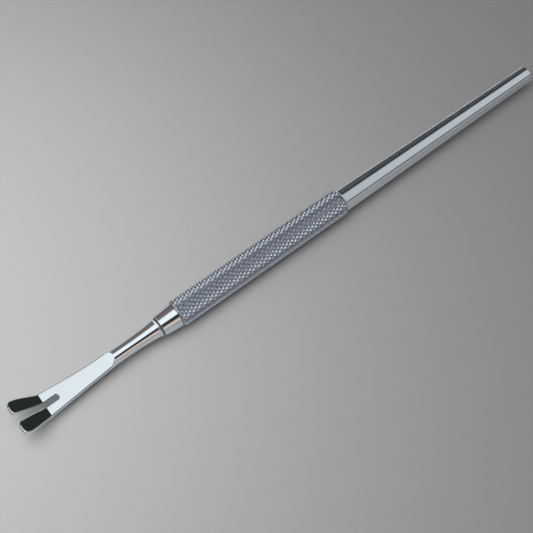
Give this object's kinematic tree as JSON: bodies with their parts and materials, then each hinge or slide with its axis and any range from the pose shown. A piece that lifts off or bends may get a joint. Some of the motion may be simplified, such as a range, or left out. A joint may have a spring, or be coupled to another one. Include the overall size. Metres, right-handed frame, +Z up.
{
  "type": "spring bar tool",
  "caption": "Slim steel spring bar tool: splayed fork on a round neck that unscrews from a diamond-knurled grip with a tapered octagonal bar behind it.",
  "frame": {"origin": "under the middle of the tool's length and of its width, on the surface that its grip lies on", "axes": "+X along the tool from its fork to its butt, +Z up out of the blade's flat, +Y across the blade"},
  "size_m": [0.138, 0.0076, 0.006],
  "materials": {
    "polished_steel": "mirror polished",
    "satin_steel": "satin polished along its length",
    "knurled_steel": "diamond knurled, satin",
    "darkened_steel": "dark, in shadow between two shoulders",
    "turned_steel": "as turned"
  },
  "bodies": {
    "handle": {"octagonal_bar": "satin_steel", "core_rod": "turned_steel", "knurled_sleeve": "knurled_steel", "nose_collar": "polished_steel"},
    "washer": {"seat_washer": "darkened_steel"},
    "fork": {"fork_blade": "polished_steel", "threaded_stud": "turned_steel"}
  },
  "joints": [
    {"name": "tip_travel", "type": "slide", "parent": "handle", "child": "washer", "axis": [-1, 0, 0], "range_m": [0, 0.00405]},
    {"name": "tip_turn", "type": "hinge", "parent": "washer", "child": "fork", "pos_m": [-0.036, 0, 0.003], "axis": [-1, 0, 0], "range_deg": [0, 3240]}
  ],
  "couplings": [
    {"joint": "tip_turn", "follows": "tip_travel", "rad_per_m": 13963}
  ]
}
